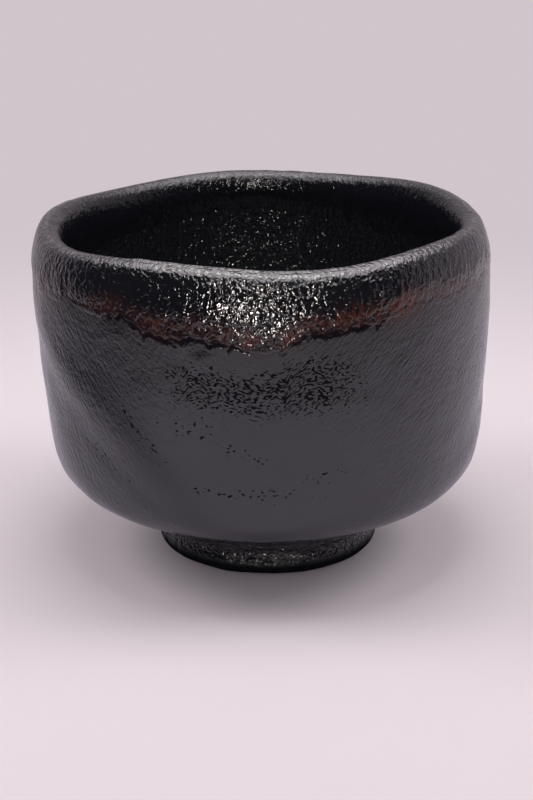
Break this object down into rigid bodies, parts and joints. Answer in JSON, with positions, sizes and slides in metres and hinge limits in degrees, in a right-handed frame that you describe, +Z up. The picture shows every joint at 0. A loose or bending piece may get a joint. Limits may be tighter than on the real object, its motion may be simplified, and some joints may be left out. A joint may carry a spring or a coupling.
{
  "type": "matcha bowl",
  "caption": "Hand-formed black tea bowl with a thick wavy lip, upright wall, rounded heel and low foot ring.",
  "frame": {"origin": "bottom centre of the bowl's box, on the surface that it stands on", "axes": "+Z up out of the mouth; -Y towards the side seen in front, where the second coat's hem hangs lowest"},
  "size_m": [0.1132, 0.1144, 0.0872],
  "materials": {
    "clay": "matte, unglazed, fine grit",
    "slip": "matte, unglazed",
    "black_glaze": "glossy black glaze, pitted and streaked",
    "iron_black_glaze": "glossy black glaze with fine bumps and a red-brown band at its hem"
  },
  "bodies": {
    "root": {"clay_body": "clay", "slip_joint": "slip", "foot_ring": "clay", "outer_glaze": "black_glaze", "inner_glaze": "black_glaze", "rim_glaze": "iron_black_glaze", "foot_glaze": "black_glaze", "foot_well_glaze": "black_glaze"}
  },
  "joints": []
}
